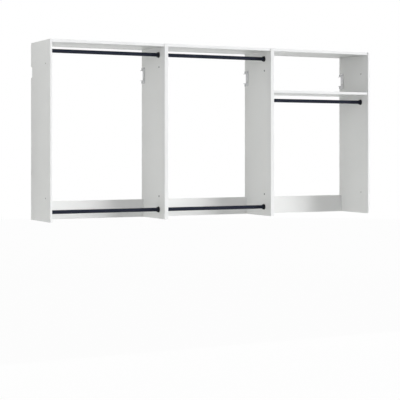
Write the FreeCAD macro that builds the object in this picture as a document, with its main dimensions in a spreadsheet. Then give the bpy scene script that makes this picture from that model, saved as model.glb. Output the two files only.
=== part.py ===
import FreeCAD, Part
import os
import Sketcher
from FreeCAD import Placement, Rotation, Vector

# A wall-mounted closet of three equal units. X runs along the wall, the wall is the plane Y = 0,
# the fronts face -Y and Z is up. The origin is on the wall, in the middle of the width, at the
# height where the hanging brackets sit on the wall's rail. All sizes are in millimetres.

driving_sizes = {
    "unit_width": 810,
    "side_height": 1160,
    "side_depth": 370,
    "side_thickness": 13,
    "board_thickness": 18,
    "edging_thickness": 1,
    "shelf_setback": 5,
    "lower_shelf_gap": 40,
    "rail_height": 120,
    "rail_inset": 8,
    "rod_diameter": 25,
    "rod_wall": 1.2,
    "rod_setback": 94,
    "rod_drop": 50,
    "low_rod_height": 61,
    "rod_fit_gap": 0.05,
    "rod_end_gap": 1,
    "cup_wall": 4,
    "cup_flare": 3.5,
    "cup_height": 13,
    "cup_base": 3.2,
    "cup_rim": 2,
    "cup_screw_margin": 1.5,
    "cup_screw_sink": 1.9,
    "seat_drop": 160,
    "notch_height": 70,
    "notch_depth": 22,
    "notch_radius": 7,
    "seat_lip": 2,
    "bracket_thickness": 3,
    "bracket_depth": 52,
    "bracket_margin": 20,
    "bracket_flange": 10,
    "bracket_screw_inset": 10,
    "bracket_front_screw": 40,
    "screw_diameter": 3.5,
    "screw_head": 7,
    "screw_head_height": 2.4,
    "screw_crown": 3.5,
    "screw_cover": 4,
    "join_setback": 89,
    "join_inset": 150,
    "join_barrel": 8,
    "join_bolt": 5,
    "join_head": 12,
    "join_head_height": 1.5,
    "join_end_gap": 3,
    "cam_inset": 70,
    "cam_reach": 24,
    "cam_diameter": 15,
    "cam_below_bolt": 4.5,
    "cam_recess": 0.5,
    "cam_slot": 2.5,
    "cam_slot_span": 7.5,
    "cam_slot_depth": 3,
    "cap_diameter": 18,
    "cap_height": 1,
    "bolt_thread": 5,
    "bolt_depth": 10,
    "bolt_neck": 4,
    "bolt_head": 6,
    "bolt_head_length": 5,
    "bolt_bore": 7,
    "dowel_diameter": 8,
    "dowel_pitch": 32,
    "dowel_in_side": 9,
    "dowel_in_board": 21,
    "dowel_bevel": 1,
    "rail_cam_height": 84,
    "rail_dowel_height": 36,
    "fixing_gap": 0.1,
}

doc = FreeCAD.newDocument("closet_system")
sheet = doc.addObject("Spreadsheet::Sheet", "sizes")
for row, (alias, number) in enumerate(driving_sizes.items(), start=1):
    sheet.set(f"A{row}", str(number))
    sheet.setAlias(f"A{row}", alias)
doc.recompute()


class Size:
    """A length known both as an expression on the sheet and as its present value."""

    def __init__(self, text, value):
        self.text = text
        self.value = value

    def __add__(self, other):
        return Size(f"({self.text} + {other.text})", self.value + other.value)

    def __sub__(self, other):
        return Size(f"({self.text} - {other.text})", self.value - other.value)

    def __mul__(self, factor):
        return Size(f"({self.text} * {factor})", self.value * factor)

    def __truediv__(self, divisor):
        return Size(f"({self.text} / {divisor})", self.value / divisor)

    def __neg__(self):
        return Size(f"(0 - {self.text})", -self.value)


def size(alias):
    return Size(f"sizes.{alias}", float(sheet.get(alias)))


zero = Size("0", 0.0)
unit_width = size("unit_width")
side_height = size("side_height")
side_depth = size("side_depth")
side_thickness = size("side_thickness")
board_thickness = size("board_thickness")
edging = size("edging_thickness")
fixing_gap = size("fixing_gap")

# Heights above the seat, and depths measured from the wall.
top = zero + size("seat_drop")
bottom = top - side_height
front = -side_depth
inner_half = unit_width / 2 - side_thickness
board_length = inner_half * 2
shelf_depth = side_depth - size("shelf_setback")
rail_back = -size("rail_inset")
rail_front = rail_back - board_thickness
notch_top = zero + size("seat_lip")
notch_bottom = notch_top - size("notch_height")
lower_shelf_top = notch_bottom - size("bracket_margin") - size("lower_shelf_gap")

rod_depth = front + size("rod_setback")
rod_radius = size("rod_diameter") / 2
rod_seat = size("cup_base") + size("rod_end_gap")
rod_length = board_length - rod_seat * 2
upper_rod_height = top - board_thickness - size("rod_drop")
shelf_rod_height = lower_shelf_top - board_thickness - size("rod_drop")
low_rod_height = bottom + size("low_rod_height")

join_depth = front + size("join_setback")
join_heights = (top - size("join_inset"), bottom + size("join_inset"))

screw_bore = size("screw_diameter") + fixing_gap * 2
screw_depth = side_thickness - size("screw_cover")
cup_bore_radius = rod_radius + size("rod_fit_gap")
cup_mouth_radius = cup_bore_radius + size("cup_wall")
cup_base_radius = cup_mouth_radius + size("cup_flare")
cup_screw_offset = rod_radius - size("rod_wall") - size("screw_head") / 2 - size("cup_screw_margin")
cup_screw_seat = size("cup_base") - size("cup_screw_sink")

bracket_screw_high = notch_top + size("bracket_screw_inset")
bracket_screw_low = notch_bottom - size("bracket_screw_inset")
bracket_screw_web = notch_bottom + size("bracket_screw_inset")
bracket_screws = (
    (-size("bracket_screw_inset"), bracket_screw_high),
    (-size("bracket_front_screw"), bracket_screw_high),
    (-size("bracket_front_screw"), bracket_screw_web),
    (-size("bracket_screw_inset"), bracket_screw_low),
)

# Places of cams and dowels along a board's width, from its rear or lower edge.
shelf_cams = (size("cam_inset"), shelf_depth - size("cam_inset"))
shelf_dowels = (
    size("cam_inset") + size("dowel_pitch"),
    shelf_depth - size("cam_inset") - size("dowel_pitch"),
)
rail_cams = (size("rail_cam_height"),)
rail_dowels = (size("rail_dowel_height"),)
cam_bore = size("cam_diameter") + fixing_gap * 2
cam_depth = board_thickness / 2 + size("cam_below_bolt")

left_end = Rotation()
right_end = Rotation(Vector(0, 0, 1), 180)
back_face_up = Rotation(Vector(1, 0, 0), -90)
ends = (("left", -1, left_end), ("right", 1, right_end))

units = ("left_unit", "middle_unit", "right_unit")
unit_shelves = {
    "left_unit": {"top_shelf": top},
    "middle_unit": {"top_shelf": top},
    "right_unit": {"top_shelf": top, "lower_shelf": lower_shelf_top},
}
unit_rods = {
    "left_unit": {"upper_rod": upper_rod_height, "lower_rod": low_rod_height},
    "middle_unit": {"upper_rod": upper_rod_height, "lower_rod": low_rod_height},
    "right_unit": {"rod": shelf_rod_height},
}

nodes = []
tolerance = 1e-3


def unit_centre(unit):
    return unit_width * (units.index(unit) - 1)


def inner_face(unit, sign):
    return unit_centre(unit) + inner_half * sign


def vector(x, y, z):
    return Vector(x.value, y.value, z.value)


# Helpers for sketches, features and placements.
def place(piece, x, y, z, rotation=left_end):
    piece.Placement = Placement(vector(x, y, z), rotation)
    for axis, length in (("x", x), ("y", y), ("z", z)):
        piece.setExpression(f"Placement.Base.{axis}", length.text)


def new_body(label):
    body = doc.addObject("PartDesign::Body", label)
    body.Label = label
    return body


def sketch_on(body, role, offset=zero):
    plane = next(feature for feature in body.Origin.OriginFeatures if feature.Role == role)
    sketch = body.newObject("Sketcher::SketchObject", f"{body.Name}_sketch")
    sketch.AttachmentSupport = (plane, "")
    sketch.MapMode = "FlatFace"
    sketch.setExpression("AttachmentOffset.Base.z", offset.text)
    return sketch


def bind(sketch, constraint, length):
    index = sketch.addConstraint(constraint)
    sketch.setExpression(f"Constraints[{index}]", length.text)


def fix_point(sketch, geometry, point, u, v):
    for kind, length, axis in (("DistanceX", u, -2), ("DistanceY", v, -1)):
        if length is zero:
            sketch.addConstraint(Sketcher.Constraint("PointOnObject", geometry, point, axis))
        else:
            bind(sketch, Sketcher.Constraint(kind, -1, 1, geometry, point, length.value), length)


def add_outline(sketch, points):
    first = sketch.GeometryCount
    count = len(points)
    corners = [Vector(u.value, v.value, 0) for u, v in points]
    for i in range(count):
        sketch.addGeometry(Part.LineSegment(corners[i], corners[(i + 1) % count]), False)
    for i in range(count):
        following = first + (i + 1) % count
        sketch.addConstraint(Sketcher.Constraint("Coincident", first + i, 2, following, 1))
    for i, (u, v) in enumerate(points):
        fix_point(sketch, first + i, 1, u, v)


def add_circle(sketch, u, v, diameter):
    centre = Vector(u.value, v.value, 0)
    circle = sketch.addGeometry(Part.Circle(centre, Vector(0, 0, 1), diameter.value / 2), False)
    fix_point(sketch, circle, 3, u, v)
    bind(sketch, Sketcher.Constraint("Diameter", circle, diameter.value), diameter)


def pad(body, sketch, length, towards=1):
    feature = body.newObject("PartDesign::Pad", f"{body.Name}_pad")
    feature.Profile = sketch
    feature.setExpression("Length", length.text)
    feature.Reversed = towards < 0
    doc.recompute()


def pocket(body, sketch, depth, towards):
    """Cut the sketch's areas into the body, along its normal (1) or against it (-1)."""
    before = body.Shape.Volume
    feature = body.newObject("PartDesign::Pocket", f"{body.Name}_pocket")
    feature.Profile = sketch
    feature.setExpression("Length", depth.text)
    feature.Reversed = towards > 0
    doc.recompute()
    if not body.Shape.Volume < before - tolerance:
        raise RuntimeError(f"a pocket of {body.Label} cut nothing")


def drill(body, role, holes, depth, towards, offset=zero):
    sketch = sketch_on(body, role, offset)
    for u, v, diameter in holes:
        add_circle(sketch, u, v, diameter)
    pocket(body, sketch, depth, towards)


def revolve(body, points):
    """Turn an outline of (along X, radius) points about the body's X axis."""
    sketch = sketch_on(body, "XY_Plane")
    add_outline(sketch, points)
    feature = body.newObject("PartDesign::Revolution", f"{body.Name}_revolution")
    feature.Profile = sketch
    feature.ReferenceAxis = (sketch, ["H_Axis"])
    feature.Angle = 360
    doc.recompute()


def round_edges(body, is_wanted, radius):
    base = body.Tip
    wanted = [f"Edge{i}" for i, edge in enumerate(base.Shape.Edges, start=1) if is_wanted(edge)]
    fillet = body.newObject("PartDesign::Fillet", f"{body.Name}_fillet")
    fillet.Base = (base, wanted)
    fillet.setExpression("Radius", radius.text)
    doc.recompute()


def strip(label, low, spans):
    """A straight edging strip from its low corner, with its three spans."""
    box = doc.addObject("Part::Box", label)
    box.Label = label
    for name, span in zip(("Length", "Width", "Height"), spans):
        box.setExpression(name, span.text)
    place(box, *low)
    nodes.append(box)


# The upright sides, notched at the back for the wall's rail.
def side_fixings(unit):
    """Depth and height of the cam bolts and of the dowels in one side of a unit."""
    bolts = [(rail_back - board_thickness / 2, bottom + height) for height in rail_cams]
    dowels = [(rail_back - board_thickness / 2, bottom + height) for height in rail_dowels]
    for height in unit_shelves[unit].values():
        bolts += [(-place_from_wall, height - board_thickness / 2) for place_from_wall in shelf_cams]
        dowels += [(-place_from_wall, height - board_thickness / 2) for place_from_wall in shelf_dowels]
    return bolts, dowels


def screw_places(unit):
    """Depth and height of every wood screw in one side of a unit."""
    places = list(bracket_screws)
    for height in unit_rods[unit].values():
        places += [(rod_depth, height + cup_screw_offset), (rod_depth, height - cup_screw_offset)]
    return places


def notch_corner(edge):
    middle = edge.CenterOfMass
    along_x = abs(abs(edge.tangentAt(edge.FirstParameter).x) - 1) < tolerance
    at_bottom_of_notch = abs(middle.y + size("notch_depth").value) < tolerance
    return along_x and at_bottom_of_notch


def side(unit, name, sign):
    body = new_body(f"{unit}_{name}_side")
    board_front = front + edging
    profile = sketch_on(body, "YZ_Plane")
    add_outline(profile, (
        (zero, bottom),
        (zero, notch_bottom),
        (-size("notch_depth"), notch_bottom),
        (-size("notch_depth"), notch_top),
        (zero, notch_top),
        (zero, top),
        (board_front, top),
        (board_front, bottom),
    ))
    pad(body, profile, side_thickness, sign)
    round_edges(body, notch_corner, size("notch_radius"))
    bolts, dowels = side_fixings(unit)
    join_bore = size("join_barrel") + fixing_gap * 2
    bolt_hole = size("bolt_thread") + fixing_gap * 2
    dowel_hole = size("dowel_diameter") + fixing_gap * 2
    drill(body, "YZ_Plane", [(join_depth, z, join_bore) for z in join_heights], side_thickness, sign)
    drill(body, "YZ_Plane", [(y, z, bolt_hole) for y, z in bolts], size("bolt_depth"), sign)
    drill(body, "YZ_Plane", [(y, z, dowel_hole) for y, z in dowels], size("dowel_in_side"), sign)
    drill(body, "YZ_Plane", [(y, z, screw_bore) for y, z in screw_places(unit)], screw_depth, sign)
    place(body, inner_face(unit, sign), zero, zero)
    nodes.append(body)
    low_x = inner_face(unit, sign) - side_thickness * (0 if sign > 0 else 1)
    strip(f"{body.Label}_edging", (low_x, front, bottom), (side_thickness, edging, side_height))


# Shelves and rear rails: one kind of board, with cams in its hidden face and fixings in its ends.
def board(label, width, cams, dowels):
    body = new_body(label)
    half = board_length / 2
    profile = sketch_on(body, "XY_Plane")
    board_front = -width + edging
    add_outline(profile, (
        (-half, zero),
        (-half, board_front),
        (half, board_front),
        (half, zero),
    ))
    pad(body, profile, board_thickness, -1)
    middle = -board_thickness / 2
    cam_x = half - size("cam_reach")
    cam_holes = [(cam_x * sign, -cam, cam_bore) for cam in cams for sign in (-1, 1)]
    drill(body, "XY_Plane", cam_holes, cam_depth, -1)
    dowel_hole = size("dowel_diameter") + fixing_gap * 2
    for _, sign, _ in ends:
        end = half * sign
        drill(body, "YZ_Plane", [(-cam, middle, size("bolt_bore")) for cam in cams],
              size("cam_reach"), -sign, end)
        drill(body, "YZ_Plane", [(-dowel, middle, dowel_hole) for dowel in dowels],
              size("dowel_in_board"), -sign, end)
    nodes.append(body)
    return body


def shelf(unit, name, height):
    body = board(f"{unit}_{name}", shelf_depth, shelf_cams, shelf_dowels)
    place(body, unit_centre(unit), zero, height)
    low = (inner_face(unit, -1), -shelf_depth, height - board_thickness)
    strip(f"{body.Label}_edging", low, (board_length, edging, board_thickness))


def rear_rail(unit):
    body = board(f"{unit}_rear_rail", size("rail_height"), rail_cams, rail_dowels)
    place(body, unit_centre(unit), rail_back, bottom, back_face_up)
    low = (inner_face(unit, -1), rail_front, bottom + size("rail_height") - edging)
    strip(f"{body.Label}_edging", low, (board_length, board_thickness, edging))


# Hanging rods and the closed cups that carry their ends.
def rod(unit, name, height):
    body = new_body(f"{unit}_{name}")
    section = sketch_on(body, "YZ_Plane")
    add_circle(section, zero, zero, size("rod_diameter"))
    add_circle(section, zero, zero, size("rod_diameter") - size("rod_wall") * 2)
    pad(body, section, rod_length)
    place(body, inner_face(unit, -1) + rod_seat, rod_depth, height)
    nodes.append(body)


def cup(label, x, height, rotation):
    body = new_body(label)
    rim = size("cup_rim")
    tall = size("cup_height")
    revolve(body, (
        (zero, zero),
        (zero, cup_base_radius),
        (rim, cup_base_radius),
        (tall - rim, cup_mouth_radius + rim / 2),
        (tall, cup_mouth_radius - rim / 2),
        (tall, cup_bore_radius),
        (size("cup_base"), cup_bore_radius),
        (size("cup_base"), zero),
    ))
    screw_heads = size("screw_head") + fixing_gap * 2
    heights = (cup_screw_offset, -cup_screw_offset)
    drill(body, "YZ_Plane", [(zero, z, screw_bore) for z in heights], size("cup_base"), 1)
    drill(body, "YZ_Plane", [(zero, z, screw_heads) for z in heights],
          size("cup_screw_sink"), -1, size("cup_base"))
    place(body, x, rod_depth, height, rotation)
    nodes.append(body)


# Steel plates round the notches, which hang the units on the wall's rail.
def bracket(unit, name, sign):
    body = new_body(f"{unit}_{name}_bracket")
    margin = size("bracket_margin")
    lip = size("seat_lip")
    web = lip - size("notch_depth")
    profile = sketch_on(body, "YZ_Plane")
    add_outline(profile, (
        (zero, notch_bottom - margin),
        (zero, notch_bottom + lip),
        (web, notch_bottom + lip),
        (web, notch_top - lip),
        (zero, notch_top - lip),
        (zero, notch_top + margin),
        (-size("bracket_depth"), notch_top + margin),
        (-size("bracket_depth"), notch_bottom - margin),
    ))
    for y, z in bracket_screws:
        add_circle(profile, y, z, screw_bore)
    thickness = size("bracket_thickness")
    pad(body, profile, thickness, -sign)
    for low, high in ((notch_top - lip, notch_top - lip + thickness),
                      (notch_bottom + lip - thickness, notch_bottom + lip)):
        flange = sketch_on(body, "YZ_Plane")
        add_outline(flange, ((zero, low), (zero, high), (web, high), (web, low)))
        pad(body, flange, thickness + size("bracket_flange"), -sign)
    place(body, inner_face(unit, sign), zero, zero)
    nodes.append(body)


# Fasteners are turned once, pointing into a left side at X = 0, and copied to their places.
def wood_screw(name, seat, head_height, crown):
    """A screw with its head on the seat, flat on top when the crown is as wide as the head."""
    body = new_body(name)
    radius = size("screw_diameter") / 2
    head_radius = size("screw_head") / 2
    revolve(body, (
        (-screw_depth, zero),
        (radius - screw_depth, radius),
        (seat, radius),
        (seat, head_radius),
        (seat + head_height / 2, head_radius),
        (seat + head_height, crown / 2),
        (seat + head_height, zero),
    ))
    return body.Shape


def cam_bolt():
    body = new_body("cam_bolt_blank")
    thread = size("bolt_thread") / 2
    neck = size("bolt_neck") / 2
    head = size("bolt_head") / 2
    tip = size("cam_reach") + size("bolt_head_length") / 2
    revolve(body, (
        (-size("bolt_depth"), zero),
        (-size("bolt_depth"), thread),
        (zero, thread),
        (thread - neck, neck),
        (tip - size("bolt_head_length"), neck),
        (tip - size("bolt_head_length"), head),
        (tip, head),
        (tip, zero),
    ))
    return body.Shape


def cam_lock():
    body = new_body("cam_lock_blank")
    reach = size("cam_reach")
    cam_top = board_thickness / 2 - size("cam_recess")
    profile = sketch_on(body, "XY_Plane", -size("cam_below_bolt"))
    add_circle(profile, reach, zero, size("cam_diameter"))
    pad(body, profile, cam_top + size("cam_below_bolt"))
    drill(body, "YZ_Plane", [(zero, zero, size("bolt_bore"))], reach + size("bolt_head_length"), 1)
    half_slot = size("cam_slot") / 2
    arm = size("cam_slot_span") / 2
    slot = sketch_on(body, "XY_Plane", cam_top)
    add_outline(slot, (
        (reach - arm, -half_slot), (reach - half_slot, -half_slot), (reach - half_slot, -arm),
        (reach + half_slot, -arm), (reach + half_slot, -half_slot), (reach + arm, -half_slot),
        (reach + arm, half_slot), (reach + half_slot, half_slot), (reach + half_slot, arm),
        (reach - half_slot, arm), (reach - half_slot, half_slot), (reach - arm, half_slot),
    ))
    pocket(body, slot, size("cam_slot_depth"), -1)
    return body.Shape


def cam_cap():
    body = new_body("cam_cap_blank")
    profile = sketch_on(body, "XY_Plane", board_thickness / 2)
    add_circle(profile, size("cam_reach"), zero, size("cap_diameter"))
    pad(body, profile, size("cap_height"))
    return body.Shape


def dowel():
    body = new_body("dowel_blank")
    radius = size("dowel_diameter") / 2
    bevel = size("dowel_bevel")
    start = -size("dowel_in_side")
    finish = size("dowel_in_board")
    revolve(body, (
        (start, zero),
        (start, radius - bevel),
        (start + bevel, radius),
        (finish - bevel, radius),
        (finish, radius - bevel),
        (finish, zero),
    ))
    return body.Shape


# The joining bolts run through two sides that stand back to back: the sleeve's head bears on the
# right side of one unit, and the bolt's head on the left side of the next.
def joining_sleeve():
    body = new_body("joining_sleeve_blank")
    barrel = size("join_barrel") / 2
    bore = size("join_bolt") / 2 + fixing_gap
    far_end = side_thickness * 2 - size("join_end_gap")
    revolve(body, (
        (-size("join_head_height"), zero),
        (-size("join_head_height"), size("join_head") / 2),
        (zero, size("join_head") / 2),
        (zero, barrel),
        (far_end, barrel),
        (far_end, bore),
        (size("join_end_gap"), bore),
        (size("join_end_gap"), zero),
    ))
    return body.Shape


def joining_bolt():
    body = new_body("joining_bolt_blank")
    far_face = side_thickness * 2
    revolve(body, (
        (size("join_end_gap") * 2, zero),
        (size("join_end_gap") * 2, size("join_bolt") / 2),
        (far_face, size("join_bolt") / 2),
        (far_face, size("join_head") / 2),
        (far_face + size("join_head_height"), size("join_head") / 2),
        (far_face + size("join_head_height"), zero),
    ))
    return body.Shape


def group(label, blank, placements):
    """One node that holds a copy of the blank at each placement."""
    copies = []
    for placement in placements:
        piece = blank.copy()
        piece.Placement = placement
        copies.append(piece)
    feature = doc.addObject("Part::Feature", label)
    feature.Label = label
    feature.Shape = Part.makeCompound(copies)
    feature.Placement = Placement()
    nodes.append(feature)


def board_end_placements(shelf_places, rail_places):
    """Placements on the bolt or dowel axes at both ends of every shelf and rail."""
    placements = []
    for unit in units:
        for _, sign, turn in ends:
            x = inner_face(unit, sign)
            for height in unit_shelves[unit].values():
                middle = height - board_thickness / 2
                placements += [Placement(vector(x, -y, middle), turn) for y in shelf_places]
            middle = rail_back - board_thickness / 2
            turned = back_face_up.multiply(turn)
            placements += [Placement(vector(x, middle, bottom + z), turned) for z in rail_places]
    return placements


def cup_screw_placements():
    placements = []
    for unit in units:
        for height in unit_rods[unit].values():
            for _, sign, turn in ends:
                for z in (height + cup_screw_offset, height - cup_screw_offset):
                    placements.append(Placement(vector(inner_face(unit, sign), rod_depth, z), turn))
    return placements


def bracket_screw_placements():
    placements = []
    for unit in units:
        for _, sign, turn in ends:
            for y, z in bracket_screws:
                placements.append(Placement(vector(inner_face(unit, sign), y, z), turn))
    return placements


def joining_placements():
    faces = [inner_face(unit, 1) for unit in units[:-1]]
    return [Placement(vector(x, join_depth, z), left_end) for x in faces for z in join_heights]


for unit in units:
    for name, sign, _ in ends:
        side(unit, name, sign)
        bracket(unit, name, sign)
    for name, height in unit_shelves[unit].items():
        shelf(unit, name, height)
    rear_rail(unit)
    for name, height in unit_rods[unit].items():
        rod(unit, name, height)
        for end, sign, turn in ends:
            cup(f"{unit}_{name}_{end}_cup", inner_face(unit, sign), height, turn)

cam_placements = board_end_placements(shelf_cams, rail_cams)
group("cam_bolts", cam_bolt(), cam_placements)
group("cam_locks", cam_lock(), cam_placements)
group("cam_caps", cam_cap(), cam_placements)
group("dowels", dowel(), board_end_placements(shelf_dowels, rail_dowels))
cup_screw = wood_screw("cup_screw_blank", cup_screw_seat, size("cup_screw_sink"), size("screw_head"))
group("cup_screws", cup_screw, cup_screw_placements())
bracket_screw = wood_screw(
    "bracket_screw_blank", size("bracket_thickness"), size("screw_head_height"), size("screw_crown")
)
group("bracket_screws", bracket_screw, bracket_screw_placements())
group("joining_sleeves", joining_sleeve(), joining_placements())
group("joining_bolts", joining_bolt(), joining_placements())

doc.recompute()
for item in doc.Objects:
    if "Invalid" in item.State or "Error" in item.State:
        raise RuntimeError(f"{item.Label} failed: {item.State}")
for node in nodes:
    if node.Shape.isNull() or not node.Shape.isValid():
        raise RuntimeError(f"{node.Label} has no valid shape")

os.makedirs("parts", exist_ok=True)
for node in nodes:
    node.Shape.exportStep(f"parts/{node.Label}.step")
print(f"{len(nodes)} nodes written")
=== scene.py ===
import math

import bmesh
import bpy
from mathutils import Matrix, Vector


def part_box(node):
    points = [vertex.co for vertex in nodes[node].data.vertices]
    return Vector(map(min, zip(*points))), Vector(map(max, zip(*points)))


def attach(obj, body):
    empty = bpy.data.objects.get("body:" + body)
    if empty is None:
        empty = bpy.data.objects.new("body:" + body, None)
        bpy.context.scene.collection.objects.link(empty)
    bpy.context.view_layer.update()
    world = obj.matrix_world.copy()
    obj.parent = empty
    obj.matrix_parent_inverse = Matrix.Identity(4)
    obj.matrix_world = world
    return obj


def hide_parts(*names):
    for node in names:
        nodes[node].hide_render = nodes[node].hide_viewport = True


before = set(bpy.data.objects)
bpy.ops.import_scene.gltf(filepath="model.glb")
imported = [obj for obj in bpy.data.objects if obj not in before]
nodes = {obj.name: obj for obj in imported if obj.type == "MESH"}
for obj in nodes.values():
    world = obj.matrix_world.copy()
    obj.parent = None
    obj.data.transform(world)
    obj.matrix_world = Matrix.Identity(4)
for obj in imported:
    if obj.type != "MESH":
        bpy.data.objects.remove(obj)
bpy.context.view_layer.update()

units = ("left_unit", "middle_unit", "right_unit")
unitCentres = [sum(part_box(f"{unit}_top_shelf"), Vector()).x / 2 for unit in units]
plainWhite = (1, 1, 1, 1)
weldDigits = 6  # corners that agree to so many places of a metre count as one
creaseAngle = math.radians(32)  # edges that bend more than this stay sharp
print("closet: frame loaded with", len(nodes), "nodes")


class Wire:  # an output of a node, used in sums like a number
    def __init__(self, graph, socket):
        self.graph = graph
        self.socket = socket

    def __add__(self, other):
        return self.graph.maths("ADD", self, other)

    def __sub__(self, other):
        return self.graph.maths("SUBTRACT", self, other)

    def __rsub__(self, other):
        return self.graph.maths("SUBTRACT", other, self)

    def __mul__(self, other):
        return self.graph.maths("MULTIPLY", self, other)

    def __gt__(self, other):
        return self.graph.maths("GREATER_THAN", self, other)

    def __lt__(self, other):
        return self.graph.maths("LESS_THAN", self, other)

    def __abs__(self):
        return self.graph.maths("ABSOLUTE", self, 0)

    __radd__ = __add__
    __rmul__ = __mul__


class Graph:  # the nodes of one material, or of the world
    def __init__(self, owner):
        owner.use_nodes = True
        self.owner = owner
        self.tree = owner.node_tree
        self.tree.nodes.clear()

    def node(self, kind, settings, sockets, output=0):
        made = self.tree.nodes.new(kind)
        for name, value in settings.items():
            if name == "stops":
                self.setStops(made.color_ramp, value)
            else:
                setattr(made, name, value)
        for key, value in sockets.items():
            if isinstance(value, Wire):
                self.tree.links.new(value.socket, made.inputs[key])
            else:
                made.inputs[key].default_value = value
        return Wire(self, made.outputs[output]) if made.outputs else None

    def setStops(self, ramp, stops):
        while len(ramp.elements) < len(stops):
            ramp.elements.new(1)
        for element, (place, colour) in zip(ramp.elements, stops):
            element.position = place
            element.color = opaque(colour)

    def maths(self, operation, first, second):
        return self.node("ShaderNodeMath", {"operation": operation}, {0: first, 1: second})

    def place(self):  # metres in the closet's own frame
        return self.node("ShaderNodeTexCoord", {}, {}, "Object")

    def stretched(self, place, scale):
        settings = {"operation": "MULTIPLY"}
        return self.node("ShaderNodeVectorMath", settings, {0: place, 1: scale})

    def axes(self, vector):
        split = self.node("ShaderNodeSeparateXYZ", {}, {0: vector}, "X")
        outputs = split.socket.node.outputs
        return [Wire(self, outputs[axis]) for axis in ("X", "Y", "Z")]

    def facing(self):  # how far the flat face looks along x, y and z
        return self.axes(self.node("ShaderNodeNewGeometry", {}, {}, "True Normal"))

    def noise(self, place, size, detail):  # 0 to 1, in spots of the given size
        sockets = {"Vector": place, "Scale": 1 / size, "Detail": detail}
        return self.node("ShaderNodeTexNoise", {}, sockets, "Fac")

    def cells(self, place, size):  # chips or crystals, each with a tone from 0 to 1
        sockets = {"Vector": place, "Scale": 1 / size}
        return self.axes(self.node("ShaderNodeTexVoronoi", {}, sockets, "Color"))[0]

    def mixed(self, factor, first, second):
        return self.node("ShaderNodeMix", {"data_type": "RGBA"}, {0: factor, 6: first, 7: second}, 2)

    def graded(self, factor, stops):
        return self.node("ShaderNodeValToRGB", {"stops": stops}, {0: factor})

    def bumped(self, height, depth):
        return self.node("ShaderNodeBump", {}, {"Height": height, "Distance": depth, "Strength": 1.0})

    def coated(self, **sockets):  # the surface itself, as one principled shader
        named = {key.replace("_", " "): value for key, value in sockets.items()}
        shader = self.node("ShaderNodeBsdfPrincipled", {}, named)
        self.node("ShaderNodeOutputMaterial", {}, {"Surface": shader})
        return self.owner


def newGraph(name):
    return Graph(bpy.data.materials.new(name))


def opaque(colour):
    return (*colour, 1)


def varied(middle, wave, swing):  # a value that a noise moves up and down
    return middle + (wave - 0.5) * swing


def blended(first, second, share):  # a share of the first, the rest of the second
    return first * share + second * (1 - share)


def named(ending):
    return sorted(name for name in nodes if name.endswith(ending))


def dress(names, finish):  # a CAD solid keeps its shape and takes a finish
    for name in names:
        materials = nodes[name].data.materials
        materials.clear()
        materials.append(finish)


melamineLook = {
    "white": (0.85, 0.855, 0.85),
    "shade": (0.825, 0.832, 0.828),
    "cloud": 0.22,  # size of the faint clouds in the white paper
    "grain": 0.0016,  # size of the pressed pearl texture
    "grainDepth": 0.000018,
    "roughness": 0.40,
    "roughnessSwing": 0.10,
    "cutFacing": 0.5,  # faces that look less than this across the board are cut or drilled
    "chipPale": (0.56, 0.40, 0.24),
    "chipDark": (0.20, 0.115, 0.055),
    "chipTones": (0.15, 0.8),  # tones at which chips are quite dark and quite pale
    "chipSize": 0.0034,
    "chipShare": 0.7,  # of the tone, the rest is dust
    "dustSize": 0.00136,
    "chipDepth": 0.0003,
    "chipRoughness": 0.45,  # more than the white face
    "paintedHoleShade": (0.05, 0.036, 0.022),  # painted shade inside drilled holes, a dark colour standing in for the shade there
    "paintedHoleShadeShare": 0.9,
    "edgeZone": 0.05,  # raw faces this near to the back are cut edges, not holes
    "foil": 0.0012,  # ends of the sides this near to top and bottom stay white
}


def melamineBoard(name, faceAxis, foiledEnds):
    look = melamineLook
    graph = newGraph(name)
    place = graph.place()
    cloud = graph.noise(place, look["cloud"], detail=3.0)
    grain = graph.noise(place, look["grain"], detail=2.0)
    white = graph.mixed(cloud, opaque(look["white"]), opaque(look["shade"]))
    raw = abs(graph.facing()[faceAxis]) < look["cutFacing"]  # the chipboard core shows here
    if foiledEnds:
        low, high = foiledEnds
        height = graph.axes(place)[2]
        raw = raw * (height > low + look["foil"]) * (height < high - look["foil"])
    chips = graph.cells(place, look["chipSize"])
    dust = graph.noise(place, look["dustSize"], detail=4.0)
    tone = blended(chips, dust, look["chipShare"])
    core = graph.graded(tone, tuple(zip(look["chipTones"], (look["chipDark"], look["chipPale"]))))
    # painted shade: raw faces further from the back than the edge zone are drill holes, and their
    # chipboard is darkened to stand in for the shade inside them
    holeShadeMask = graph.axes(place)[1] < -look["edgeZone"]
    core = graph.mixed(holeShadeMask * look["paintedHoleShadeShare"], core, opaque(look["paintedHoleShade"]))
    colour = graph.mixed(raw, white, core)
    roughness = varied(look["roughness"], grain, look["roughnessSwing"]) + raw * look["chipRoughness"]
    relief = grain * look["grainDepth"] + raw * tone * look["chipDepth"]
    normal = graph.bumped(relief, 1.0)
    return graph.coated(Base_Color=colour, Roughness=roughness, Normal=normal)


sideEnds = [corner.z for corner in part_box("left_unit_left_side")]
dress(named("_side"), melamineBoard("sideMelamine", 0, sideEnds))
dress(named("_shelf"), melamineBoard("shelfMelamine", 2, None))
dress(named("_rear_rail"), melamineBoard("railMelamine", 1, None))
print("closet: boards dressed")

tubeLook = {
    "black": (0.012, 0.015, 0.026),
    "grey": (0.019, 0.023, 0.039),
    "speck": 0.0012,  # orange peel of the powder coat
    "speckShare": 0.6,  # of the tone, the rest is clouds
    "speckDepth": 0.00003,
    "cloud": 0.03,
    "roughness": 0.40,
    "roughnessSwing": 0.12,
    "shine": 0.12,
}


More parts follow.
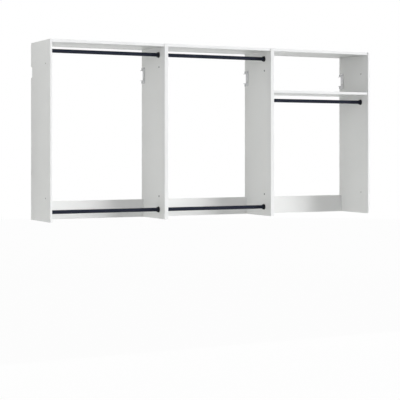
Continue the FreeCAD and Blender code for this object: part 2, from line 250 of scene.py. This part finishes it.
def powderCoat(name):
    look = tubeLook
    graph = newGraph(name)
    place = graph.place()
    speck = graph.noise(place, look["speck"], detail=2.0)
    cloud = graph.noise(place, look["cloud"], detail=2.0)
    tone = blended(speck, cloud, look["speckShare"])
    return graph.coated(
        Base_Color=graph.mixed(tone, opaque(look["black"]), opaque(look["grey"])),
        Roughness=varied(look["roughness"], cloud, look["roughnessSwing"]),
        Normal=graph.bumped(speck, look["speckDepth"]),
        Specular_IOR_Level=look["shine"],
    )


dress(named("_rod"), powderCoat("blackPowderCoat"))

zincLook = {
    "pale": (0.56, 0.565, 0.57),
    "dull": (0.48, 0.485, 0.49),
    "spangle": 0.006,  # crystals of the zinc coat
    "spangleSwing": 0.18,
    "brush": 0.0008,
    "brushStretch": (1.0, 0.12, 1.0),  # brush marks run from front to back
    "brushSwing": 0.1,
    "brushDepth": 0.00001,
    "roughness": 0.46,
}


def galvanised(name):
    look = zincLook
    graph = newGraph(name)
    place = graph.place()
    spangle = graph.cells(place, look["spangle"])
    brush = graph.noise(graph.stretched(place, look["brushStretch"]), look["brush"], detail=2.0)
    roughness = varied(look["roughness"], spangle, look["spangleSwing"])
    return graph.coated(
        Base_Color=graph.mixed(spangle, opaque(look["pale"]), opaque(look["dull"])),
        Roughness=varied(roughness, brush, look["brushSwing"]),
        Normal=graph.bumped(brush, look["brushDepth"]),
        Metallic=1.0,
    )


dress(named("_bracket"), galvanised("zincCoat"))

fittingLook = {
    "bright": (0.30, 0.30, 0.31),
    "dark": (0.16, 0.16, 0.17),
    "stain": 0.002,
    "turning": 0.0003,
    "turningDepth": 0.000006,
    "roughness": 0.38,
    "roughnessSwing": 0.2,
}
castLook = {
    "bright": (0.55, 0.555, 0.56),
    "dark": (0.40, 0.405, 0.41),
    "stain": 0.004,
    "turning": 0.0012,
    "turningDepth": 0.00004,
    "roughness": 0.55,
    "roughnessSwing": 0.2,
}


def metalFitting(name, look):
    graph = newGraph(name)
    place = graph.place()
    stain = graph.noise(place, look["stain"], detail=3.0)
    turning = graph.noise(place, look["turning"], detail=1.0)
    return graph.coated(
        Base_Color=graph.mixed(stain, opaque(look["bright"]), opaque(look["dark"])),
        Roughness=varied(look["roughness"], stain, look["roughnessSwing"]),
        Normal=graph.bumped(turning, look["turningDepth"]),
        Metallic=1.0,
    )


fittingFinish = metalFitting("darkNickel", fittingLook)
dress(["cam_bolts", "cup_screws"], fittingFinish)
dress(["cam_locks"], metalFitting("castZinc", castLook))

beechLook = {
    "pale": (0.62, 0.43, 0.26),
    "dark": (0.42, 0.25, 0.13),
    "fibre": (30.0, 900.0, 900.0),  # fibres for each metre, long ones along x
    "fibreShare": 0.7,  # of the tone, the rest is flecks
    "fibreDepth": 0.00006,
    "fleck": 0.004,
    "roughness": 0.6,
    "roughnessSwing": 0.2,
}


def beechWood(name):
    look = beechLook
    graph = newGraph(name)
    place = graph.place()
    fibre = graph.noise(graph.stretched(place, look["fibre"]), size=1.0, detail=3.0)
    fleck = graph.noise(place, look["fleck"], detail=2.0)
    tone = blended(fibre, fleck, look["fibreShare"])
    return graph.coated(
        Base_Color=graph.mixed(tone, opaque(look["pale"]), opaque(look["dark"])),
        Roughness=varied(look["roughness"], fibre, look["roughnessSwing"]),
        Normal=graph.bumped(fibre, look["fibreDepth"]),
    )


dress(["dowels"], beechWood("beech"))
print("closet: rods, brackets and hidden fittings dressed")


def solidBoxes(name):  # low and high corner of every solid in a node
    mesh = nodes[name].data
    keys = [tuple(round(value, weldDigits) for value in vertex.co) for vertex in mesh.vertices]
    leader = {key: key for key in keys}

    def leaderOf(key):
        while leader[key] != key:
            leader[key] = leader[leader[key]]
            key = leader[key]
        return key

    for edge in mesh.edges:
        first, second = edge.vertices
        leader[leaderOf(keys[first])] = leaderOf(keys[second])
    groups = {}
    for key in leader:
        groups.setdefault(leaderOf(key), []).append(key)
    return [
        (Vector(map(min, zip(*points))), Vector(map(max, zip(*points))))
        for points in sorted(groups.values(), key=min)
    ]


def turned(rings, count):  # rings of (along x, radius or one radius for each step)
    points, faces, rows = [], [], []
    for along, radius in rings:
        if radius == 0:
            rows.append([len(points)])
            points.append(Vector((along, 0, 0)))
            continue
        radii = radius if isinstance(radius, list) else [radius] * count
        rows.append(list(range(len(points), len(points) + count)))
        for step, reach in enumerate(radii):
            angle = 2 * math.pi * step / count
            points.append(Vector((along, reach * math.cos(angle), reach * math.sin(angle))))
    for lower, upper in zip(rows, rows[1:]):
        for step in range(count):
            after = step + 1
            corners = (lower[step % len(lower)], lower[after % len(lower)],
                       upper[after % len(upper)], upper[step % len(upper)])
            faces.append(list(dict.fromkeys(corners)))
    return points, faces


def arc(centre, radius, start, finish, steps):  # points of a rounded corner, angles in degrees
    across, up = centre
    turns = [math.radians(start + (finish - start) * step / steps) for step in range(steps + 1)]
    return [(across + radius * math.cos(turn), up + radius * math.sin(turn)) for turn in turns]


def inward(x):  # +1 or -1, the way to the middle of the nearest unit
    nearest = min(unitCentres, key=lambda centre: abs(centre - x))
    return 1 if nearest > x else -1


def aimed(way, place):  # puts a turned shape at its place, looking along +x or -x
    turn = Matrix() if way > 0 else Matrix.Rotation(math.pi, 4, "Z")
    return Matrix.Translation(place) @ turn


def makePiece(name, shapes, finish, replaced):
    solid = bmesh.new()
    for points, faces, placing in shapes:
        corners = [solid.verts.new(placing @ point) for point in points]
        for face in faces:
            solid.faces.new([corners[index] for index in face])
    bmesh.ops.recalc_face_normals(solid, faces=solid.faces)
    for face in solid.faces:
        face.smooth = True
    mesh = bpy.data.meshes.new(name)
    solid.to_mesh(mesh)
    solid.free()
    mesh.set_sharp_from_angle(angle=creaseAngle)
    mesh.materials.append(finish)
    piece = bpy.data.objects.new(name, mesh)
    bpy.context.scene.collection.objects.link(piece)
    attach(piece, "carcass")
    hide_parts(replaced)


edgingLook = {
    "white": (0.90, 0.905, 0.91),
    "shade": (0.865, 0.87, 0.877),
    "streak": (4.0, 900.0),  # streaks for each metre along and across the strip
    "peel": 0.0009,
    "reliefDepth": 0.000008,
    "roughness": 0.33,
    "roughnessSwing": 0.12,
    "round": 0.0008,  # rounded front corners
    "steps": 5,
}


def edgingBand(name, lengthAxis):
    look = edgingLook
    graph = newGraph(name)
    place = graph.place()
    along, across = look["streak"]
    scale = [across] * 3
    scale[lengthAxis] = along
    streak = graph.noise(graph.stretched(place, scale), size=1.0, detail=2.0)
    peel = graph.noise(place, look["peel"], detail=2.0)
    return graph.coated(
        Base_Color=graph.mixed(streak, opaque(look["white"]), opaque(look["shade"])),
        Roughness=varied(look["roughness"], streak, look["roughnessSwing"]),
        Normal=graph.bumped(peel + streak, look["reliefDepth"]),
    )


edgingFinishes = [edgingBand(f"edgingAlong{axis}", index) for index, axis in enumerate("XYZ")]


def edgingStrip(name):
    look = edgingLook
    low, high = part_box(name)
    spans = high - low
    thin, broad, along = sorted(range(3), key=lambda axis: spans[axis])
    outward = -1 if thin == 1 else 1  # fronts look along -y, the rails' tops along +z
    inner = high[thin] if outward < 0 else low[thin]
    corner = look["round"]
    depth = spans[thin]
    width = spans[broad]
    outline = [(0.0, 0.0)]
    outline += arc((corner, depth - corner), corner, 180, 90, look["steps"])
    outline += arc((width - corner, depth - corner), corner, 90, 0, look["steps"])
    outline.append((width, 0.0))
    count = len(outline)
    points = []
    for end in (low[along], high[along]):
        for across, out in outline:
            point = Vector()
            point[along] = end
            point[broad] = low[broad] + across
            point[thin] = inner + outward * out
            points.append(point)
    faces = [list(range(count)), list(range(count, 2 * count))]
    for step in range(count):
        after = (step + 1) % count
        faces.append([step, after, after + count, step + count])
    makePiece(f"{name}_band", [(points, faces, Matrix())], edgingFinishes[along], name)


for edging in named("_edging"):
    edgingStrip(edging)
print("closet: edge bands made")


def mouldedPlastic(name, look):
    graph = newGraph(name)
    grain = graph.noise(graph.place(), look["grain"], detail=3.0)
    return graph.coated(
        Base_Color=graph.mixed(grain, opaque(look["base"]), opaque(look["fleck"])),
        Roughness=varied(look["roughness"], grain, look["roughnessSwing"]),
        Normal=graph.bumped(grain, look["grainDepth"]),
        Specular_IOR_Level=look["shine"],
    )


cupLook = {
    "base": (0.006, 0.007, 0.011),
    "fleck": (0.012, 0.013, 0.018),
    "grain": 0.0007,  # eroded mould texture
    "grainDepth": 0.00003,
    "roughness": 0.52,
    "roughnessSwing": 0.16,
    "shine": 0.2,
    "segments": 40,
    "foot": 0.0012,  # round of the wide foot
    "lip": 0.0016,  # round of the mouth
    "steps": 5,
    "flare": 1.7,  # how fast the cup narrows from its foot to its mouth
    "flareSteps": 8,
    "bore": 0.01255,
    "wall": 0.004,
    "rim": 0.0006,  # bevel at the mouth of the bore
    "floor": 0.0032,
}
cupFinish = mouldedPlastic("blackPlastic", cupLook)


def cupShape(height, footRadius):
    look = cupLook
    foot = look["foot"]
    lip = look["lip"]
    bore = look["bore"]
    rim = look["rim"]
    floor = look["floor"]
    mouthRadius = bore + look["wall"]
    footArc = arc((footRadius - foot, foot), foot, 270, 360, look["steps"])
    lipArc = arc((mouthRadius - lip, height - lip), lip, 0, 90, look["steps"])
    rings = [(0.0, 0.0)]
    rings += [(along, reach) for reach, along in footArc]
    for step in range(1, look["flareSteps"]):
        share = step / look["flareSteps"]
        along = foot + (height - lip - foot) * share
        bell = (1 - share) ** look["flare"]
        rings.append((along, mouthRadius + (footRadius - mouthRadius) * bell))
    rings += [(along, reach) for reach, along in lipArc]
    rings += [(height, bore + rim), (height - rim, bore), (floor, bore), (floor, 0.0)]
    return turned(rings, look["segments"])


def endCup(name):
    low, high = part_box(name)
    middle = (low + high) / 2
    way = inward(middle.x)
    base = low.x if way > 0 else high.x
    points, faces = cupShape(high.x - low.x, (high.z - low.z) / 2)
    placing = aimed(way, (base, middle.y, middle.z))
    makePiece(f"{name}_moulded", [(points, faces, placing)], cupFinish, name)


for cup in named("_cup"):
    endCup(cup)
print("closet: rod cups made")

screwLook = {
    "segments": 24,
    "headHeight": 0.0024,
    "shank": 0.5,  # share of the head's radius
    # rounded head, as shares of its height and radius
    "profile": [(0.0, 0.97), (0.12, 1.0), (0.42, 0.97), (0.72, 0.84), (0.92, 0.66)],
    "cross": [0.5143, 0.5343, 0.2571, 0.1817, 0.2571, 0.5343],  # a quarter, as shares of the radius
    "pit": 0.7,  # the foot of the cross, as a share of its mouth
    "pitHeights": (0.45, 0.35),  # foot and tip, as shares of the head's height
}


def panHead(radius, length):  # head at x = 0 and up, shank below
    look = screwLook
    height = look["headHeight"]
    shank = radius * look["shank"]
    cross = [share * radius for share in look["cross"]] * 4
    pit = [reach * look["pit"] for reach in cross]
    foot, tip = look["pitHeights"]
    rings = [(-length, 0.0), (-length + shank, shank), (0.0, shank)]
    rings += [(height * up, radius * out) for up, out in look["profile"]]
    rings += [(height, cross), (height * foot, pit), (height * tip, 0.0)]
    return turned(rings, look["segments"])


def bracketScrews(name):
    headHeight = screwLook["headHeight"]
    shapes = []
    for low, high in solidBoxes(name):
        middle = (low + high) / 2
        way = inward(middle.x)
        face = high.x - headHeight if way > 0 else low.x + headHeight
        points, faces = panHead((high.z - low.z) / 2, high.x - low.x - headHeight)
        shapes.append((points, faces, aimed(way, (face, middle.y, middle.z))))
    makePiece(f"{name}_crossed", shapes, fittingFinish, name)


bracketScrews("bracket_screws")

joinLook = {
    "segments": 24,
    "headHeight": 0.0015,
    "shank": {"joining_sleeves": 0.004, "joining_bolts": 0.0025},
    "socket": 0.0025,  # half the key's width across flats
    "socketDepth": 0.0011,
    "rim": 0.0004,
}


def hexRadii(apothem, count):  # reach of a hexagon at each step round it
    flat = 60  # degrees that one flat takes up
    turns = [math.radians((360 * step / count) % flat - flat / 2) for step in range(count)]
    return [apothem / math.cos(turn) for turn in turns]


def joiningHeads(name, way):  # flat round heads with a hexagon socket
    look = joinLook
    headHeight = look["headHeight"]
    shank = look["shank"][name]
    rim = look["rim"]
    floor = headHeight - look["socketDepth"]
    hexagon = hexRadii(look["socket"], look["segments"])
    shapes = []
    for low, high in solidBoxes(name):
        middle = (low + high) / 2
        radius = (high.z - low.z) / 2
        length = high.x - low.x - headHeight
        rings = [(-length, 0.0), (-length, shank), (0.0, shank), (0.0, radius)]
        rings += [(headHeight - rim, radius), (headHeight, radius - rim)]
        rings += [(headHeight, hexagon), (floor, hexagon), (floor, 0.0)]
        points, faces = turned(rings, look["segments"])
        face = high.x - headHeight if way > 0 else low.x + headHeight
        shapes.append((points, faces, aimed(way, (face, middle.y, middle.z))))
    makePiece(f"{name}_socketed", shapes, fittingFinish, name)


joiningHeads("joining_sleeves", -1)
joiningHeads("joining_bolts", 1)

capLook = {
    "base": (0.80, 0.80, 0.79),
    "fleck": (0.84, 0.84, 0.83),
    "grain": 0.0006,
    "grainDepth": 0.00002,
    "roughness": 0.42,
    "roughnessSwing": 0.16,
    "shine": 0.5,
    "segments": 32,
    # heights and radii from the foot to the flat top
    "profile": [(0.0, 0.0088), (0.0002, 0.009), (0.0007, 0.0089), (0.00091, 0.0082), (0.001, 0.0054)],
}
capFinish = mouldedPlastic("whitePlastic", capLook)


def coverCaps(name):
    look = capLook
    top = look["profile"][-1][0]
    points, faces = turned([(0.0, 0.0), *look["profile"], (top, 0.0)], look["segments"])
    upward = Matrix.Rotation(-math.pi / 2, 4, "Y")  # on shelves
    backward = Matrix.Rotation(math.pi / 2, 4, "Z")  # on rails
    shapes = []
    for low, high in solidBoxes(name):
        flat = min(range(3), key=lambda axis: high[axis] - low[axis])
        base = (low + high) / 2
        base[flat] = low[flat]
        turn = upward if flat == 2 else backward
        shapes.append((points, faces, Matrix.Translation(base) @ turn))
    makePiece(f"{name}_domed", shapes, capFinish, name)


coverCaps("cam_caps")
print("closet: screws, joining heads and caps made")

cameraLook = {
    "place": (-3.779, -7.5, -0.529),
    "yaw": 26.93,  # degrees to the right of straight at the wall
    "lens": 107.45,
    "sensor": 36.0,
    "shiftY": -0.13,
}


def makeCamera():
    look = cameraLook
    data = bpy.data.cameras.new("camera")
    data.sensor_width = look["sensor"]
    data.lens = look["lens"]
    data.shift_y = look["shiftY"]
    camera = bpy.data.objects.new("camera", data)
    camera.location = look["place"]
    camera.rotation_euler = (math.radians(90), 0, math.radians(-look["yaw"]))
    bpy.context.scene.collection.objects.link(camera)
    bpy.context.scene.camera = camera


def seenRays(graph):  # 1 for what the camera sees, also in gloss and glass
    path = graph.node("ShaderNodeLightPath", {}, {}, "Is Camera Ray")
    outputs = path.socket.node.outputs
    return path + Wire(graph, outputs["Is Glossy Ray"]) + Wire(graph, outputs["Is Transmission Ray"])


floorLook = {
    "height": -1.95,  # the closet hangs about a metre above the floor
    "radius": 16.0,
    "segments": 96,
    "pale": (0.90, 0.90, 0.90),
    "white": 0.97,  # share of plain white that the floor shows, the rest is lit
}


def makeFloor():
    look = floorLook
    mesh = bpy.data.meshes.new("floor")
    disc = bmesh.new()
    bmesh.ops.create_circle(disc, cap_ends=True, segments=look["segments"], radius=look["radius"])
    disc.to_mesh(mesh)
    disc.free()
    floor = bpy.data.objects.new("floor", mesh)
    floor.location.z = look["height"]
    bpy.context.scene.collection.objects.link(floor)
    graph = newGraph("paleFloor")
    lit = graph.node("ShaderNodeBsdfDiffuse", {}, {"Color": opaque(look["pale"])})
    white = graph.node("ShaderNodeEmission", {}, {"Color": plainWhite, "Strength": 1.0})
    share = seenRays(graph) * look["white"]
    shown = graph.node("ShaderNodeMixShader", {}, {0: share, 1: lit, 2: white})
    graph.node("ShaderNodeOutputMaterial", {}, {"Surface": shown})
    mesh.materials.append(graph.owner)


wallLook = {
    "gap": 0.06,  # behind the closet's back edges
    "halfWidth": 8.0,
    "top": 4.0,
    "tone": (0.83, 0.84, 0.815),
}


def makeWall():  # shades the closet as a wall would, without hiding it from any side
    look = wallLook
    foot = floorLook["height"]
    outline = [(-1, foot), (1, foot), (1, look["top"]), (-1, look["top"])]
    corners = [(x * look["halfWidth"], look["gap"], z) for x, z in outline]
    mesh = bpy.data.meshes.new("wall")
    mesh.from_pydata(corners, [], [(0, 1, 2, 3)])
    wall = bpy.data.objects.new("wall", mesh)
    bpy.context.scene.collection.objects.link(wall)
    wall.visible_camera = False
    wall.visible_glossy = False
    wall.visible_transmission = False
    graph = newGraph("paleWall")
    lit = graph.node("ShaderNodeBsdfDiffuse", {}, {"Color": opaque(look["tone"])})
    graph.node("ShaderNodeOutputMaterial", {}, {"Surface": lit})
    mesh.materials.append(graph.owner)


lightLook = {
    "left": (0.03, 0.03, 0.03),  # soft light from all round, by side
    "front": (0.44, 0.44, 0.437),
    "right": (0.04, 0.04, 0.042),
    "keyStrength": 2.35,
    "keySpread": 30.0,  # degrees across, as soft as a large softbox
    "keyAzimuth": 43.0,  # degrees to the right of the front
    "keyHeight": 12.0,  # degrees above level
    "fillStrength": 0.66,
    "fillSpread": 40.0,
    "fillAzimuth": -60.0,
    "fillHeight": 5.0,
}


def makeLamp(name):  # a soft lamp far away, aimed by its azimuth and height
    look = lightLook
    data = bpy.data.lights.new(name, "SUN")
    data.energy = look[f"{name}Strength"]
    data.angle = math.radians(look[f"{name}Spread"])
    azimuth = math.radians(look[f"{name}Azimuth"])
    height = math.radians(look[f"{name}Height"])
    level = Vector((math.sin(azimuth), -math.cos(azimuth), 0)) * math.cos(height)
    towards = level + Vector((0, 0, math.sin(height)))
    lamp = bpy.data.objects.new(name, data)
    lamp.rotation_mode = "QUATERNION"
    lamp.rotation_quaternion = towards.to_track_quat("Z", "Y")
    lamp.visible_glossy = False  # no glare on the white boards from any side
    bpy.context.scene.collection.objects.link(lamp)


def makeLights():
    look = lightLook
    world = bpy.data.worlds.new("studio")
    bpy.context.scene.world = world
    graph = Graph(world)
    direction = graph.node("ShaderNodeTexCoord", {}, {}, "Generated")
    rightward = graph.axes(direction)[0] * 0.5 + 0.5  # 0 at the far left, 1 at the far right
    ambient = graph.graded(rightward, ((0, look["left"]), (0.5, look["front"]), (1, look["right"])))
    colour = graph.mixed(seenRays(graph), ambient, plainWhite)
    light = graph.node("ShaderNodeBackground", {}, {"Color": colour, "Strength": 1.0})
    graph.node("ShaderNodeOutputWorld", {}, {"Surface": light})
    makeLamp("key")
    makeLamp("fill")


makeCamera()
makeFloor()
makeWall()
makeLights()
bpy.context.scene.view_settings.view_transform = "Standard"
print("closet: camera, floor, wall and lights made")
